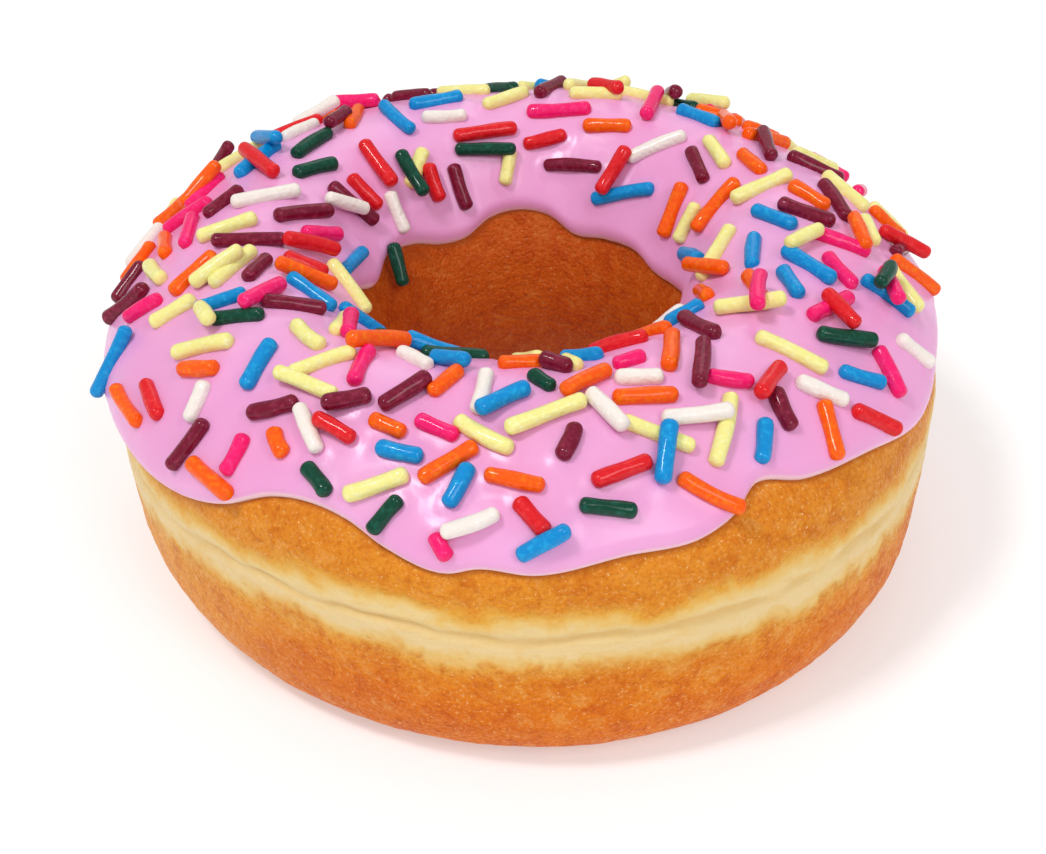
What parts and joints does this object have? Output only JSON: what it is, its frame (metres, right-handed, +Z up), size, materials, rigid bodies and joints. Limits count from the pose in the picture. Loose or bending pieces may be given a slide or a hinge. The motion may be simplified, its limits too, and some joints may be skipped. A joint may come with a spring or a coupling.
{
  "type": "ring doughnut",
  "caption": "Ring doughnut with pink icing over its top, covered in coloured sprinkles; the dough has a pale waist and a flat foot to rest on.",
  "frame": {"origin": "middle of the box around the whole, on the surface that it rests on", "axes": "+Z up through the hole; -Y towards the side that the picture shows nearest"},
  "size_m": [0.0922, 0.0916, 0.0416],
  "materials": {
    "dough": "fried dough, golden brown with a pale waist, matt with a light sheen of fat",
    "icing": "set glossy pink sugar icing",
    "sprinkle_yellow": "waxy pale yellow sugar",
    "sprinkle_orange": "waxy orange sugar",
    "sprinkle_pink": "waxy deep pink sugar",
    "sprinkle_green": "waxy dark green sugar",
    "sprinkle_purple": "waxy dark purple sugar",
    "sprinkle_white": "waxy white sugar",
    "sprinkle_red": "waxy red sugar",
    "sprinkle_blue": "waxy blue sugar"
  },
  "bodies": {
    "root": {"dough": "dough", "icing": "icing"}
  },
  "joints": []
}
